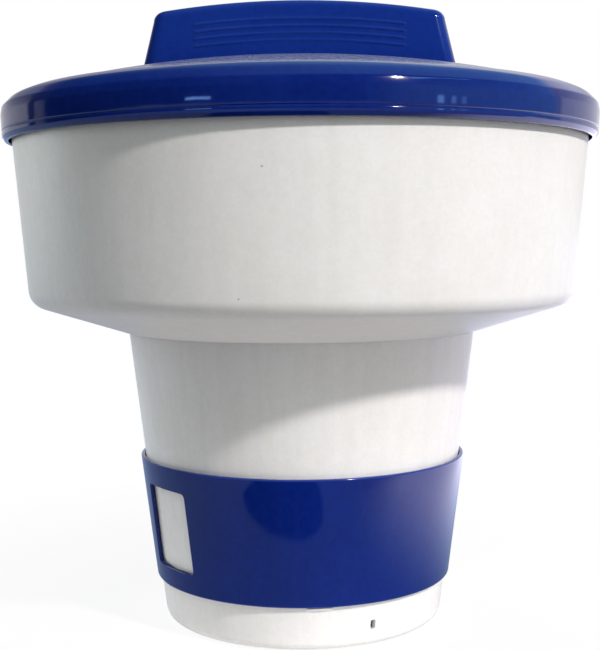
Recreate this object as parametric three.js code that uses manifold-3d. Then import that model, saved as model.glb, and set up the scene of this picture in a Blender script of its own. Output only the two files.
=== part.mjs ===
// Floating chlorine dispenser: a white float bowl with a tapered tablet basket
// under it, a twist-off blue lid with a bar handle, and a blue control ring that
// turns round the basket to open or close its slots.
// Millimetres, +Z up. Origin: centre of the flat base. -Y is the front.
// Azimuths are in degrees from the front (-Y), positive towards +X, which is
// counter-clockwise seen from above.

import * as THREE from 'three';
import { mergeVertices } from 'three/addons/utils/BufferGeometryUtils.js';
import Module from 'manifold-3d';

const wasm = await Module();
wasm.setup();

// --------------------------------------------------------- shared dimensions
const SEGMENTS = 60;               // facets round a full turn
const WALL = 2.0;                  // general wall thickness
const GAP = 0.35;                  // running clearance between separate pieces

// basket cone: its outer wall widens upwards
const NECK_Z = 93.6;               // where the basket enters the bowl
const NECK_R = 56.5;               // outer radius there
const DRAFT = 0.1197;              // radius gained per mm of height
const basketR = (z) => NECK_R - (NECK_Z - z) * DRAFT;

// quick thread between lid liner and deck neck: three starts, one helix family
const THREAD_LEAD = 44.0;          // rise per full turn
const THREAD_STARTS = 3;
const THREAD_SPAN_DEG = 50.0;
const THREAD_STEPS = 10;
const THREAD_H = 2.2;              // height at the root
const THREAD_CREST_SHARE = 0.8;    // height at the crest, as a share of the root's
const THREAD_ROOT = 0.6;           // depth sunk into the wall that carries it
const NECK_THREAD_Z = 160.2;       // middle of each neck thread
const LINER_THREAD_Z = NECK_THREAD_Z - THREAD_H - 0.45;

const BLUE = 0x16309c;
const WHITE = 0xefeee9;
const FINISH = {
  blue: { color: BLUE, roughness: 0.22 },
  whiteShell: { color: WHITE, roughness: 0.35 },
  whiteInner: { color: WHITE, roughness: 0.4 },
  whiteGrate: { color: WHITE, roughness: 0.45 },
  rubber: { color: 0x2a2b2d, roughness: 0.8 },
};

// ------------------------------------------------------------------- helpers
const rad = THREE.MathUtils.degToRad;
const deg = THREE.MathUtils.radToDeg;

// a closed solid from a geometry: shared vertices merged, slivers dropped, faces out
function closed(geometry) {
  for (const name of Object.keys(geometry.attributes)) {
    if (name !== 'position') geometry.deleteAttribute(name);
  }
  const merged = mergeVertices(geometry, 1e-4);
  const position = merged.attributes.position;
  const source = merged.index.array;
  const triangles = [];
  const [p, q, r] = [new THREE.Vector3(), new THREE.Vector3(), new THREE.Vector3()];
  let volume = 0;
  for (let i = 0; i < source.length; i += 3) {
    const [a, b, c] = source.slice(i, i + 3);
    if (a === b || b === c || a === c) continue;
    triangles.push([a, b, c]);
    p.fromBufferAttribute(position, a);
    q.fromBufferAttribute(position, b);
    r.fromBufferAttribute(position, c);
    volume += p.dot(q.cross(r));
  }
  if (volume < 0) triangles.forEach((triangle) => triangle.reverse());
  return new wasm.Manifold(new wasm.Mesh({
    numProp: 3,
    vertProperties: new Float32Array(position.array),
    triVerts: new Uint32Array(triangles.flat()),
  }));
}

function toGeometry(solid) {
  const mesh = solid.getMesh();
  const geometry = new THREE.BufferGeometry();
  const positions = new Float32Array(mesh.vertProperties);
  geometry.setAttribute('position', new THREE.BufferAttribute(positions, 3));
  geometry.setIndex(new THREE.BufferAttribute(new Uint32Array(mesh.triVerts), 1));
  geometry.computeVertexNormals();
  return geometry;
}

function piece(name, solid, finish) {
  const mesh = new THREE.Mesh(toGeometry(solid), new THREE.MeshStandardMaterial(finish));
  mesh.name = name;
  return mesh;
}

const toVectors = (points) => points.map(([x, y]) => new THREE.Vector2(x, y));

// revolve [r, z] points about Z; a loop that never meets the axis is closed on itself
function lathe(points) {
  const meetsAxis = points[0][0] <= 1e-6 && points.at(-1)[0] <= 1e-6;
  const outline = toVectors(meetsAxis ? points : [...points, points[0]]);
  const geometry = new THREE.LatheGeometry(outline, SEGMENTS);
  geometry.rotateX(Math.PI / 2);
  return closed(geometry);
}

function extrude(points, depth) {
  const shape = new THREE.Shape(toVectors(points));
  return new THREE.ExtrudeGeometry(shape, { depth, bevelEnabled: false });
}

// an outline of [x, z] points, extruded from y = yBack towards the front
function extrudeForward(points, yBack, depth) {
  const geometry = extrude(points, depth);
  geometry.rotateX(Math.PI / 2);
  geometry.translate(0, yBack, 0);
  return geometry;
}

// a box centred on a radius at an azimuth, standing on z0
function box({ width, depth, height, z0, radius, azimuth }) {
  const geometry = new THREE.BoxGeometry(width, depth, height);
  geometry.translate(0, -radius, z0 + height / 2);
  geometry.rotateZ(rad(azimuth));
  return closed(geometry);
}

function arc(centreX, centreY, radius, startDeg, endDeg, steps) {
  const points = [];
  for (let i = 0; i <= steps; i++) {
    const angle = rad(startDeg + ((endDeg - startDeg) * i) / steps);
    points.push([centreX + radius * Math.cos(angle), centreY + radius * Math.sin(angle)]);
  }
  return points;
}

// a rounded rectangle, symmetric about x = 0
function roundedRectangle(halfWidth, y0, y1, radius, steps) {
  const x = halfWidth - radius;
  const corners = [[x, y1 - radius], [-x, y1 - radius], [-x, y0 + radius], [x, y0 + radius]];
  return corners.flatMap(([cx, cy], i) => arc(cx, cy, radius, i * 90, (i + 1) * 90, steps));
}

// a half outline at x >= 0, followed by its mirror image
function mirrored(half) {
  return [...half, ...half.filter(([x]) => x > 0).reverse().map(([x, y]) => [-x, y])];
}

// a helical strip of constant section, narrower at the crest than at the root
function thread(rootR, crestR, zMid, azimuthMid) {
  const rootHalf = THREAD_H / 2;
  const crestHalf = rootHalf * THREAD_CREST_SHARE;
  const section = [
    [rootR, -rootHalf], [crestR, -crestHalf], [crestR, crestHalf], [rootR, rootHalf],
  ];
  const positions = [];
  for (let i = 0; i <= THREAD_STEPS; i++) {
    const turn = (i / THREAD_STEPS - 0.5) * THREAD_SPAN_DEG;
    const angle = rad(azimuthMid + turn);
    const z = zMid + (turn * THREAD_LEAD) / 360;
    for (const [r, dz] of section) {
      positions.push(r * Math.sin(angle), -r * Math.cos(angle), z + dz);
    }
  }
  const indices = [];
  for (let i = 0; i < THREAD_STEPS; i++) {
    for (let k = 0; k < 4; k++) {
      const a = i * 4 + k;
      const b = i * 4 + ((k + 1) % 4);
      indices.push(a, b, a + 4, b, b + 4, a + 4);
    }
  }
  const end = THREAD_STEPS * 4;
  indices.push(0, 2, 1, 0, 3, 2);
  indices.push(end, end + 1, end + 2, end, end + 2, end + 3);
  const geometry = new THREE.BufferGeometry();
  geometry.setAttribute('position', new THREE.Float32BufferAttribute(positions, 3));
  geometry.setIndex(indices);
  return closed(geometry);
}

function addThreads(solid, rootR, crestR, zMid) {
  for (let i = 0; i < THREAD_STARTS; i++) {
    solid = solid.add(thread(rootR, crestR, zMid, (i * 360) / THREAD_STARTS));
  }
  return solid;
}

// -------------------------------------------------------------- control ring
const RING_Z0 = 14.2;
const RING_Z1 = 53.7;
const RING_T0 = 1.10;              // wall thickness at the bottom edge
const RING_T1 = 1.25;              // and at the top edge
const WINDOW_AZ = -55.9;           // centre of one window at rest; the other is opposite
const WINDOW_W = 21.5;
const WINDOW_Z0 = 20.9;
const WINDOW_Z1 = 46.1;
const WINDOW_CORNER_R = 1.0;
const WINDOW_CUT = { startR: 38, depth: 24 };

function ringSolid() {
  const inner0 = basketR(RING_Z0) + GAP;
  const inner1 = basketR(RING_Z1) + GAP;
  let ring = lathe([
    [inner0, RING_Z0], [inner0 + RING_T0, RING_Z0],
    [inner1 + RING_T1, RING_Z1], [inner1, RING_Z1],
  ]);
  const outline = roundedRectangle(WINDOW_W / 2, WINDOW_Z0, WINDOW_Z1, WINDOW_CORNER_R, 4);
  for (const side of [0, 180]) {
    const cutter = extrudeForward(outline, -WINDOW_CUT.startR, WINDOW_CUT.depth);
    cutter.rotateZ(rad(WINDOW_AZ + side));
    ring = ring.subtract(closed(cutter));
  }
  return ring;
}

// -------------------------------------------------------------- tablet basket
const BASE_FILLET = 3.0;
const FLOOR_T = 2.0;
const FOOT_R = 30.0;               // inside this radius the underside is recessed
const FOOT_RECESS = 1.0;
const FLOOR_TOP = FLOOR_T + FOOT_RECESS;
const SEAT_Z0 = 104.3;             // locating shoulder, underside
const SEAT_Z1 = 106.5;
const SEAT_R = 62.3;
const TUBE_R0 = 58.0;              // upper tube, outer radius just above the shoulder
const TUBE_R1 = 59.0;              // and at its top
const TUBE_TOP = 150.0;
const RIM_FLANGE_R = 63.0;
const RIM_FLANGE_T = 1.8;

// water slots, in two opposite groups that face plain ring wall at rest
const SLOT = { width: 2.8, depth: 14, z0: 23.0, height: 21.0, radius: basketR(33) };
const SLOTS_PER_GROUP = 4;
const SLOT_PITCH_DEG = 6.0;
const SLOT_GROUP_AZ = WINDOW_AZ + 90;

// drain slits near the base
const DRAIN = { width: 1.2, depth: 8, z0: 5.4, height: 2.9, radius: basketR(7) };
const DRAIN_AZ = 27.2;

// snap lugs that keep the control ring up
const LUG_AZ = -66.0;
const LUG_COUNT = 5;
const LUG_W = 8.0;
const LUG_DEPTH = 2.4;
const LUG_Z0 = 12.7;
const LUG_Z1 = RING_Z0 - GAP;
const LUG_PROUD = 0.95;

function lugSolid(azimuth) {
  const geometry = new THREE.BoxGeometry(LUG_W, LUG_DEPTH, LUG_Z1 - LUG_Z0);
  // the outer face is a ramp, so the ring can be pushed up over the lug
  const position = geometry.attributes.position;
  for (let i = 0; i < position.count; i++) {
    const y = position.getY(i);
    if (position.getZ(i) < 0 && y < 0) position.setY(i, y + LUG_PROUD);
  }
  const radius = basketR(LUG_Z1) + LUG_PROUD - LUG_DEPTH / 2;
  geometry.translate(0, -radius, (LUG_Z0 + LUG_Z1) / 2);
  geometry.rotateZ(rad(azimuth));
  return closed(geometry);
}

function basketSolid() {
  const lean = Math.atan(DRAFT);
  const filletR = basketR(BASE_FILLET) - BASE_FILLET / Math.cos(lean);
  const innerLow = basketR(FLOOR_TOP) - WALL;
  const flangeZ = TUBE_TOP - RIM_FLANGE_T;
  let basket = lathe([
    // underside and outer wall, upwards
    [0, FOOT_RECESS], [FOOT_R - 1, FOOT_RECESS], [FOOT_R, 0],
    ...arc(filletR, BASE_FILLET, BASE_FILLET, -90, -deg(lean), 4),
    [basketR(SEAT_Z0), SEAT_Z0], [SEAT_R, SEAT_Z0], [SEAT_R, SEAT_Z1], [TUBE_R0, SEAT_Z1],
    [TUBE_R1 - 0.05, flangeZ], [RIM_FLANGE_R, flangeZ], [RIM_FLANGE_R, TUBE_TOP],
    // inner wall, downwards, and floor
    [TUBE_R1 - WALL, TUBE_TOP], [TUBE_R0 - WALL, SEAT_Z1],
    [basketR(SEAT_Z0) - WALL, SEAT_Z0 - 1.5],
    [innerLow + 0.2, FLOOR_T + 2.6], [innerLow - 1.6, FLOOR_TOP], [0, FLOOR_TOP],
  ]);
  for (const side of [0, 180]) {
    for (let i = 0; i < SLOTS_PER_GROUP; i++) {
      const offset = (i - (SLOTS_PER_GROUP - 1) / 2) * SLOT_PITCH_DEG;
      basket = basket.subtract(box({ ...SLOT, azimuth: SLOT_GROUP_AZ + side + offset }));
    }
    basket = basket.subtract(box({ ...DRAIN, azimuth: DRAIN_AZ + side }));
  }
  for (let i = 0; i < LUG_COUNT; i++) {
    basket = basket.add(lugSolid(LUG_AZ + (i * 360) / LUG_COUNT));
  }
  return basket;
}

// ----------------------------------------------------------------- float bowl
const SHOULDER_SLOPE = 0.317;      // rise per mm of radius on the underside
const COLLAR_R = 62.5;             // upstanding collar round the hole
const COLLAR_TOP = 101.0;
const CORNER_FILLET = 6.0;         // between shoulder and wall
const BOWL_WALL_R0 = 87.95;        // outer wall radius at BOWL_WALL_Z0
const BOWL_WALL_Z0 = 107.0;
const BOWL_WALL_R1 = 92.0;         // and at BOWL_WALL_Z1
const BOWL_WALL_Z1 = 154.0;
const BOWL_RIM_Z = 157.6;
const BOWL_DRAFT = (BOWL_WALL_R1 - BOWL_WALL_R0) / (BOWL_WALL_Z1 - BOWL_WALL_Z0);
const bowlR = (z) => BOWL_WALL_R0 + (z - BOWL_WALL_Z0) * BOWL_DRAFT;
const shoulderZ = (r) => NECK_Z + (r - NECK_R) * SHOULDER_SLOPE;

function bowlSolid() {
  const lean = Math.atan(BOWL_DRAFT);
  const slope = Math.atan(SHOULDER_SLOPE);
  // the fillet centre is where the wall and shoulder lines, both offset inwards, cross
  const wallOffset = CORNER_FILLET / Math.cos(lean);
  const shoulderOffset = CORNER_FILLET / Math.cos(slope);
  const filletZ = (shoulderZ(bowlR(0) - wallOffset) + shoulderOffset)
    / (1 - SHOULDER_SLOPE * BOWL_DRAFT);
  const filletR = bowlR(filletZ) - wallOffset;
  const startDeg = -90 + deg(slope);
  const endDeg = -deg(lean);
  const rimR = bowlR(BOWL_RIM_Z);
  return lathe([
    [basketR(NECK_Z) + GAP, NECK_Z + 0.1],
    ...arc(filletR, filletZ, CORNER_FILLET, startDeg, endDeg, 4),
    [rimR, BOWL_RIM_Z], [rimR - WALL, BOWL_RIM_Z],
    ...arc(filletR, filletZ, CORNER_FILLET - WALL, endDeg, startDeg, 2),
    [COLLAR_R, shoulderZ(COLLAR_R) + WALL / Math.cos(slope)],
    [COLLAR_R, COLLAR_TOP], [basketR(COLLAR_TOP) + GAP, COLLAR_TOP],
  ]);
}

// ------------------------------- float deck, with the threaded neck in its middle
const DECK_Z0 = 159.2;
const DECK_Z1 = 161.0;
const DECK_R = 92.1;
const SPIGOT_R = 89.6;             // short skirt that drops inside the bowl wall
const SPIGOT_T = 1.8;
const SPIGOT_TAPER = 0.3;          // radius lost on its outside at the lower end
const SPIGOT_Z = 153.5;
const NECK_IN_R = 59.7;            // inside of the threaded neck
const NECK_OUT_R = 62.0;
const NECK_BOTTOM = 150.4;
const NECK_TOP = 165.6;
const NECK_THREAD_CREST_R = 58.3;

function deckSolid() {
  const deck = lathe([
    [NECK_IN_R, NECK_BOTTOM], [NECK_OUT_R, NECK_BOTTOM], [NECK_OUT_R, DECK_Z0],
    [SPIGOT_R - SPIGOT_T, DECK_Z0], [SPIGOT_R - SPIGOT_T, SPIGOT_Z],
    [SPIGOT_R - SPIGOT_TAPER, SPIGOT_Z], [SPIGOT_R, DECK_Z0],
    [DECK_R, DECK_Z0], [DECK_R, DECK_Z1],
    [NECK_OUT_R, DECK_Z1], [NECK_OUT_R, NECK_TOP], [NECK_IN_R, NECK_TOP],
  ]);
  return addThreads(deck, NECK_IN_R + THREAD_ROOT, NECK_THREAD_CREST_R, NECK_THREAD_Z);
}

// ------------------------------- bar handle, moulded with the lid, hollow from below
const HANDLE_HALF_TOP = 47.0;      // half length at the top
const HANDLE_HALF_BASE = 52.5;
const HANDLE_BASE_Z = 170.0;
const HANDLE_TOP_MID = 199.8;      // crown height at the middle
const HANDLE_TOP_END = 196.55;     // and at HANDLE_END_X
const HANDLE_END_X = 43.0;
const HANDLE_T_BASE = 22.0;        // thickness front to back
const HANDLE_T_TOP = 17.0;
const HANDLE_END_ROUND = 3.2;      // upper corners in the side view
const HANDLE_EDGE_ROUND = 2.6;     // long top edges
const HANDLE_PLAN_ROUND = 6;       // upright corners
const HANDLE_PLAN_MARGIN = 1;      // plan outline beyond the base size
const HOLLOW_DROP = 8;             // how far the hollow reaches below the handle base
const CROWN_STEPS = 5;

const RIB_Z = [193.6, 191.3, 189.0, 186.7];
const RIB_HALF = 34.0;
const RIB_H = 1.3;
const RIB_DEPTH = 1.6;
const RIB_PROUD = 0.35;
const RIB_STEPS = 6;

const CROWN_DROP = HANDLE_TOP_MID - HANDLE_TOP_END;
const CROWN_R = (HANDLE_END_X ** 2 + CROWN_DROP ** 2) / (2 * CROWN_DROP);
const crownSag = (x) => CROWN_R - Math.sqrt(CROWN_R * CROWN_R - x * x);

// the handle shrunk by an inset; with one it is the hollow, which starts lower
function handleBlock(inset) {
  const floor = HANDLE_BASE_Z - (inset ? HOLLOW_DROP : 0);

  // side outline: crowned top, rounded upper corners, ends that lean inwards
  const endLean = (HANDLE_HALF_TOP - HANDLE_HALF_BASE) / (HANDLE_TOP_END - HANDLE_BASE_Z);
  const endX = (z) => HANDLE_HALF_BASE + endLean * (z - HANDLE_BASE_Z) - inset;
  const topZ = (x) => HANDLE_TOP_MID - crownSag(x) - inset;
  const endRound = Math.max(HANDLE_END_ROUND - inset, 1.5);
  const cornerZ = topZ(HANDLE_HALF_TOP - endRound) - endRound;
  const cornerX = endX(cornerZ) - endRound;
  const sideHalf = [[endX(floor), floor], ...arc(cornerX, cornerZ, endRound, 0, 84, 4)];
  for (let i = 1; i <= CROWN_STEPS; i++) {
    const x = cornerX * (1 - i / CROWN_STEPS);
    sideHalf.push([x, topZ(x)]);
  }
  const side = extrudeForward(mirrored(sideHalf), 30, 60);

  // end outline: sides lean in, top edges rounded; turned to run along X
  const edgeRound = Math.max(HANDLE_EDGE_ROUND - inset, 0.8);
  const edgeY = HANDLE_T_TOP / 2 - inset - edgeRound;
  const edgeZ = HANDLE_TOP_MID - inset - edgeRound;
  const endHalf = [
    [HANDLE_T_BASE / 2 - inset, floor],
    ...arc(edgeY, edgeZ, edgeRound, 8, 84, 3),
  ];
  const end = extrudeForward(mirrored(endHalf), 70, 140);
  end.rotateZ(Math.PI / 2);

  // plan outline: rounded upright corners
  const planX = HANDLE_HALF_BASE + HANDLE_PLAN_MARGIN - inset;
  const planY = HANDLE_T_BASE / 2 + HANDLE_PLAN_MARGIN - inset;
  const planRound = Math.max(HANDLE_PLAN_ROUND - inset, 2);
  const plan = extrude(roundedRectangle(planX, -planY, planY, planRound, 3), 60);
  plan.translate(0, 0, 150);

  return closed(side).intersect(closed(end)).intersect(closed(plan));
}

// a thin raised bar that follows the crown; side is -1 at the front, 1 at the back
function ribSolid(zMid, side) {
  const upper = [];
  const lower = [];
  for (let i = 0; i <= RIB_STEPS; i++) {
    const x = -RIB_HALF + (2 * RIB_HALF * i) / RIB_STEPS;
    const z = zMid - crownSag(x);
    upper.push([x, z + RIB_H / 2]);
    lower.push([x, z - RIB_H / 2]);
  }
  const lean = (HANDLE_T_BASE - HANDLE_T_TOP) / 2 / (HANDLE_TOP_MID - HANDLE_BASE_Z);
  const faceY = HANDLE_T_BASE / 2 - (zMid - HANDLE_BASE_Z) * lean + RIB_PROUD;
  const yBack = side > 0 ? faceY : RIB_DEPTH - faceY;
  return closed(extrudeForward([...lower, ...upper.reverse()], yBack, RIB_DEPTH));
}

// ------------------------------------------------------------------ lid cover
const LID_T = 2.0;
const LID_Z0 = 154.5;              // lower edge of the skirt
const LID_EDGE_R = 94.0;
const LIP_Z = 156.7;               // fine step line above the lip
const LIP_R = 94.95;
const SKIRT_R = 95.4;              // widest point
const SKIRT_TOP_Z = 162.4;
const BORDER_R = 84.6;             // inner edge of the smooth border
const BORDER_Z = 169.5;
const DOME_R = 340.0;              // spherical radius of the top
const DOME_EDGE_R = 83.0;
const DOME_APEX_Z = 180.0;
const DOME_STATIONS = [0, 30, 60]; // radii where the dome profile has points
const CLIP_R0 = 70.6;              // ring under the dome that holds the liner
const CLIP_R1 = 72.4;
const CLIP_Z = 165.6;
const HANDLE_SINK = 1;             // how far the solid handle reaches into the dome

const domeZ = (r) => DOME_APEX_Z - DOME_R + Math.sqrt(DOME_R * DOME_R - r * r);
const domeLine = (drop) => DOME_STATIONS.map((r) => [r, domeZ(r) - drop]);

function coverSolid() {
  const shell = lathe([
    // outside, from the apex down
    ...domeLine(0), [DOME_EDGE_R, domeZ(DOME_EDGE_R)],
    [BORDER_R, BORDER_Z], [90.2, 168.05], [92.9, 166.6], [94.85, 164.6],
    [SKIRT_R, SKIRT_TOP_Z], [LIP_R + 0.2, LIP_Z + 0.15], [LIP_R, LIP_Z], [LID_EDGE_R, LID_Z0],
    // inside, back up to the axis
    [LID_EDGE_R - 0.9, LID_Z0], [93.35, 162.2], [92.0, 164.9], [83.6, 167.2],
    [CLIP_R1, domeZ(CLIP_R1) - LID_T], [CLIP_R1, CLIP_Z],
    [CLIP_R0, CLIP_Z], [CLIP_R0, domeZ(CLIP_R0) - LID_T],
    ...domeLine(LID_T).reverse(),
  ]);
  const belowDome = lathe([...domeLine(HANDLE_SINK), [60, 150], [0, 150]]);
  let cover = shell.add(handleBlock(0).subtract(belowDome));
  for (const z of RIB_Z) {
    for (const side of [-1, 1]) cover = cover.add(ribSolid(z, side));
  }
  return cover.subtract(handleBlock(LID_T));
}

// ------------------------------------------- lid liner: disc and threaded spigot
const LINER_Z0 = 152.0;            // lower end of the spigot
const LINER_DISC_Z0 = 165.0;
const LINER_DISC_Z1 = 166.6;
const LINER_OUT_R = 57.7;
const LINER_IN_R = LINER_OUT_R - WALL;
const LINER_FLANGE_R = 70.2;
const LINER_FLANGE_Z0 = 167.4;
const LINER_FLANGE_Z1 = 168.8;
const LINER_THREAD_CREST_R = 59.25;

function linerSolid() {
  const liner = lathe([
    [0, LINER_DISC_Z0], [LINER_IN_R, LINER_DISC_Z0],
    [LINER_IN_R, LINER_Z0], [LINER_OUT_R, LINER_Z0], [LINER_OUT_R, LINER_FLANGE_Z0],
    [LINER_FLANGE_R, LINER_FLANGE_Z0], [LINER_FLANGE_R, LINER_FLANGE_Z1],
    [LINER_IN_R - 3, LINER_FLANGE_Z1], [LINER_IN_R - 5, LINER_DISC_Z1], [0, LINER_DISC_Z1],
  ]);
  return addThreads(liner, LINER_OUT_R - THREAD_ROOT, LINER_THREAD_CREST_R, LINER_THREAD_Z);
}

// ---------------------------------------------------------------------- seals
const LID_SEAL = { r0: 59.9, r1: 66.5, z0: NECK_TOP + GAP, z1: LINER_FLANGE_Z0 - GAP };
const DECK_GASKET = { r0: 90.3, r1: DECK_R, z0: BOWL_RIM_Z + GAP, z1: DECK_Z0 - GAP };
const BASKET_SEAL_R = 60.4;
const BASKET_SEAL_Z = (COLLAR_TOP + SEAT_Z0) / 2;
const BASKET_SEAL_SECTION_R = 1.25;

const flatRing = ({ r0, r1, z0, z1 }) => lathe([[r0, z0], [r1, z0], [r1, z1], [r0, z1]]);

function basketSealSolid() {
  const torus = new THREE.TorusGeometry(BASKET_SEAL_R, BASKET_SEAL_SECTION_R, 8, SEGMENTS);
  torus.translate(0, 0, BASKET_SEAL_Z);
  return closed(torus);
}

// --------------------------------------------------------------- tablet grate
const GRATE_R = 43.2;
const GRATE_Z0 = 9.6;
const GRATE_Z1 = 11.6;
const GRATE_CHAMFER = 0.6;         // lower outer edge
const GRATE_HOLE_ROWS = [          // radial slots, each row evenly spaced
  { count: 8, firstAz: 0, r0: 9, r1: 22, width: 4.5 },
  { count: 16, firstAz: 11.25, r0: 26, r1: 38.5, width: 5 },
];
const LEG_COUNT = 4;
const LEG_AZ = 22.5;
const LEG_PITCH_R = 24;
const LEG_TOP_R = 2.2;
const LEG_FOOT_R = 1.8;
const LEG_Z0 = FLOOR_TOP + GAP;
const LEG_Z1 = GRATE_Z0 + 0.5;     // sunk into the disc

function grateSolid() {
  let grate = lathe([
    [0, GRATE_Z0], [GRATE_R - GRATE_CHAMFER, GRATE_Z0],
    [GRATE_R, GRATE_Z0 + GRATE_CHAMFER], [GRATE_R, GRATE_Z1], [0, GRATE_Z1],
  ]);
  for (const { count, firstAz, r0, r1, width } of GRATE_HOLE_ROWS) {
    const hole = { width, depth: r1 - r0, height: 6, z0: GRATE_Z0 - 2, radius: (r0 + r1) / 2 };
    for (let i = 0; i < count; i++) {
      grate = grate.subtract(box({ ...hole, azimuth: firstAz + (i * 360) / count }));
    }
  }
  for (let i = 0; i < LEG_COUNT; i++) {
    const leg = new THREE.CylinderGeometry(LEG_TOP_R, LEG_FOOT_R, LEG_Z1 - LEG_Z0, 10);
    leg.rotateX(Math.PI / 2);
    leg.translate(0, -LEG_PITCH_R, (LEG_Z0 + LEG_Z1) / 2);
    leg.rotateZ(rad(LEG_AZ + (i * 360) / LEG_COUNT));
    grate = grate.add(closed(leg));
  }
  return grate;
}

// ------------------------------------------------------------------- assembly
const body = new THREE.Group();
body.add(
  piece('float_bowl', bowlSolid(), FINISH.whiteShell),
  piece('float_deck', deckSolid(), FINISH.whiteInner),
  piece('deck_gasket', flatRing(DECK_GASKET), FINISH.rubber),
  piece('tablet_basket', basketSolid(), FINISH.whiteShell),
  piece('basket_seal', basketSealSolid(), FINISH.rubber),
  piece('tablet_grate', grateSolid(), FINISH.whiteGrate),
);
const lid = new THREE.Group();
lid.add(
  piece('lid_cover', coverSolid(), FINISH.blue),
  piece('lid_liner', linerSolid(), FINISH.whiteInner),
  piece('lid_seal', flatRing(LID_SEAL), FINISH.rubber),
);
const group = new THREE.Group();
group.add(body, piece('control_ring', ringSolid(), FINISH.blue), lid);

export default group;
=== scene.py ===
"""A round float with a control ring and a screw-on lid, standing on a pale floor.

The axis of turning is Z and the bottom lies at z = 0. The front faces -Y and +X is
to the right. Pieces are drawn in millimetres, and azimuths are in degrees from the
front, positive towards +X. Materials, the stage and the lights are in metres.
"""
import math

import bmesh
import bpy
import numpy as np
from mathutils import Matrix, Vector


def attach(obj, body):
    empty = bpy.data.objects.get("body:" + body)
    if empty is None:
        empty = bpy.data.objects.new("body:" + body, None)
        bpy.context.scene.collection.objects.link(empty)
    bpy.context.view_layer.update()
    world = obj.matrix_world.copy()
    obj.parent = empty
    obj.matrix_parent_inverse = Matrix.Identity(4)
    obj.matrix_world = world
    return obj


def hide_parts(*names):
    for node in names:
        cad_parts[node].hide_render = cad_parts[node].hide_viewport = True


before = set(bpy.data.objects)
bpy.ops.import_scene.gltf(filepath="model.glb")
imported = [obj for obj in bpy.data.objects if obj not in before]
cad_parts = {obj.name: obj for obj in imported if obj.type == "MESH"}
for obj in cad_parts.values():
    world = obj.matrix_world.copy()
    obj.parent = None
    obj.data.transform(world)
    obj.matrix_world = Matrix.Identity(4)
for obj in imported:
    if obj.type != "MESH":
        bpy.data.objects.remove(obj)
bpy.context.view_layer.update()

SCENE = bpy.context.scene
MM = 0.001
COLUMNS = 288                  # columns round a turned surface

# ------------------------------------------------------- shared dimensions, mm
NECK_Z, NECK_R = 93.6, 56.5    # where the basket's wall meets the bowl's shoulder
DRAFT = 0.1197                 # radius the basket gains per mm of height
WALL = 2.0
CLEARANCE = 0.35               # gap round the basket, to the bowl and to the ring
DOME_R, DOME_APEX, DOME_EDGE = 340.0, 180.0, 83.0   # the lid's spherical top
WINDOW_AZ, WINDOW_Z = -55.9, 33.5                   # first ring window, mid height


def wall_r(z):
    """The basket's outer radius."""
    return NECK_R - (NECK_Z - z) * DRAFT


def dome_z(r):
    return DOME_APEX - DOME_R + math.sqrt(DOME_R * DOME_R - r * r)


# ------------------------------------------------------------ outline helpers
def rad(degrees):
    return math.radians(degrees)


def rounded(corners, arc_step, closed=True):
    """(r, z, fillet) corners -> outline points with an arc at each fillet."""
    count = len(corners)
    out = []
    for i, (r, z, *rest) in enumerate(corners):
        fillet = rest[0] if rest else 0.0
        if fillet <= 0 or (not closed and i in (0, count - 1)):
            out.append((r, z))
            continue
        corner = np.array([r, z], float)
        back = np.array(corners[i - 1][:2], float) - corner
        ahead = np.array(corners[(i + 1) % count][:2], float) - corner
        back_len, ahead_len = np.linalg.norm(back), np.linalg.norm(ahead)
        back, ahead = back / back_len, ahead / ahead_len
        angle = math.acos(max(-1.0, min(1.0, float(back @ ahead))))
        if angle > math.pi - 1e-3:          # a straight run has no corner to round
            out.append((r, z))
            continue
        tangent = min(fillet / math.tan(angle / 2), 0.49 * back_len, 0.49 * ahead_len)
        radius = tangent * math.tan(angle / 2)
        middle = (back + ahead) / np.linalg.norm(back + ahead)
        centre = corner + middle * (radius / math.sin(angle / 2))
        start = corner + back * tangent - centre
        end = corner + ahead * tangent - centre
        start_angle = math.atan2(start[1], start[0])
        end_angle = math.atan2(end[1], end[0])
        sweep = (end_angle - start_angle + math.pi) % (2 * math.pi) - math.pi
        steps = max(2, int(abs(math.degrees(sweep)) / arc_step) + 1)
        for j in range(steps + 1):
            a = start_angle + sweep * j / steps
            out.append((centre[0] + radius * math.cos(a), centre[1] + radius * math.sin(a)))
    return out


def subdivide(points, longest, closed=True):
    """Adds points so that no step of an outline is longer than longest."""
    out = []
    count = len(points)
    for i in range(count if closed else count - 1):
        start = np.array(points[i], float)
        end = np.array(points[(i + 1) % count], float)
        steps = max(1, int(math.ceil(np.linalg.norm(end - start) / longest)))
        for j in range(steps):
            out.append(tuple(start + (end - start) * j / steps))
    if not closed:
        out.append(tuple(points[-1]))
    return out


def rounded_rect(half_x, half_y, corner, grow, least, corner_steps, side_steps=1, end_steps=1):
    """A rounded rectangle grown by grow, with a corner radius of at least least."""
    a, b, c = half_x + grow, half_y + grow, max(corner + grow, least)
    out = []

    def arc(x, y, start):
        for j in range(corner_steps):
            t = rad(start + 90 * j / corner_steps)
            out.append((x + c * math.cos(t), y + c * math.sin(t)))

    def line(x0, y0, x1, y1, steps):
        for j in range(steps):
            out.append((x0 + (x1 - x0) * j / steps, y0 + (y1 - y0) * j / steps))

    arc(a - c, b - c, 0)
    line(a - c, b, -a + c, b, side_steps)
    arc(-a + c, b - c, 90)
    line(-a, b - c, -a, -b + c, end_steps)
    arc(-a + c, -b + c, 180)
    line(-a + c, -b, a - c, -b, side_steps)
    arc(a - c, -b + c, 270)
    line(a, -b + c, a, b - c, end_steps)
    return out


def circle(x, y, radius, count):
    angles = [2 * math.pi * k / count for k in range(count)]
    return [(x + radius * math.cos(a), y + radius * math.sin(a)) for a in angles]


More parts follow.
